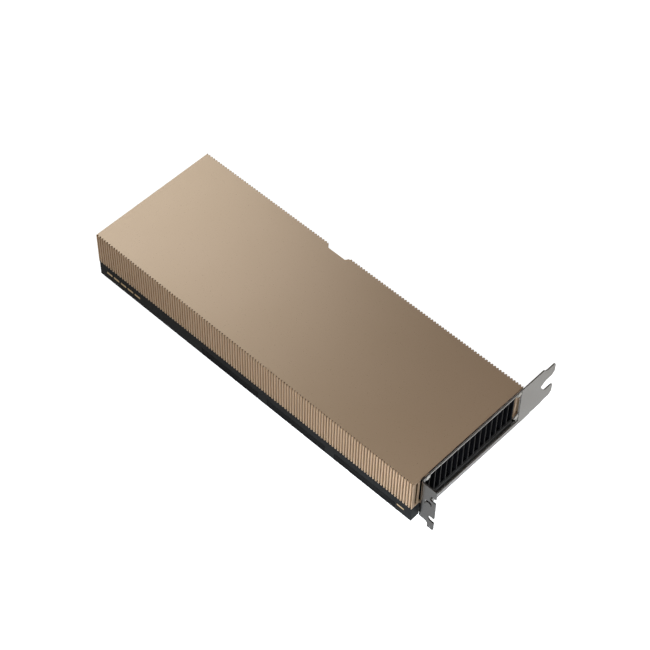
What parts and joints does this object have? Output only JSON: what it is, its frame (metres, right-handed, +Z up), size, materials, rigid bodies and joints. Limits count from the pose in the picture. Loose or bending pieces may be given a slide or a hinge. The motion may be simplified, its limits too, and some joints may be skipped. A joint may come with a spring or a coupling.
{
  "type": "passive accelerator card",
  "caption": "Two-slot passively cooled accelerator card with ribbed one-piece cover, slotted bracket, vaned exhaust, edge connector and rear power inlet.",
  "frame": {"origin": "corner where the bracket's outer face plane, the card's upper long edge and the case underside meet", "axes": "+X out through the bracket, the card runs to -X; +Y towards the edge connector; +Z up from the underside to the ribbed cover, component side up"},
  "size_m": [0.279, 0.1251, 0.0399],
  "materials": {
    "gold_cover": "fine satin, anodised champagne gold",
    "black_frame": "black moulding, faint sheen",
    "black_plate": "black powder coat",
    "black_caps": "black rubbery moulding",
    "board": "dark solder mask on glass laminate",
    "contact_gold": "hard gold plate",
    "bracket_steel": "dark nickel plated steel sheet",
    "dark_screws": "black oxide",
    "black_grille": "black anodised",
    "substrate": "green laminate",
    "ring_steel": "nickel plated",
    "silicon": "polished silicon",
    "mould_black": "epoxy mould compound",
    "paste": "grey thermal paste",
    "chamber_copper": "nickel free copper",
    "sink_aluminium": "milled aluminium",
    "pad": "soft thermal pad",
    "connector": "glass filled nylon",
    "tin": "tin plate"
  },
  "bodies": {
    "root": {"top_cover": "gold_cover", "lower_frame": "black_frame", "backplate": "black_plate", "bridge_cover_1": "black_caps", "bridge_cover_2": "black_caps", "bridge_cover_3": "black_caps", "circuit_board": "board", "edge_contacts": "contact_gold", "io_bracket": "bracket_steel", "bracket_screws": "dark_screws", "exhaust_grille": "black_grille", "processor_substrate": "substrate", "stiffener_ring": "ring_steel", "processor_die": "silicon", "memory_stacks": "silicon", "thermal_paste": "paste", "vapour_chamber": "chamber_copper", "heatsink_base": "sink_aluminium", "fin_stack": "sink_aluminium", "case_screws": "dark_screws", "choke_row_1": "mould_black", "choke_row_2": "mould_black", "power_stage_row_1": "mould_black", "power_stage_row_2": "mould_black", "thermal_pad_1": "pad", "thermal_pad_2": "pad", "capacitors": "mould_black", "controller_chips": "mould_black", "power_socket": "connector", "power_pins": "tin"}
  },
  "joints": []
}
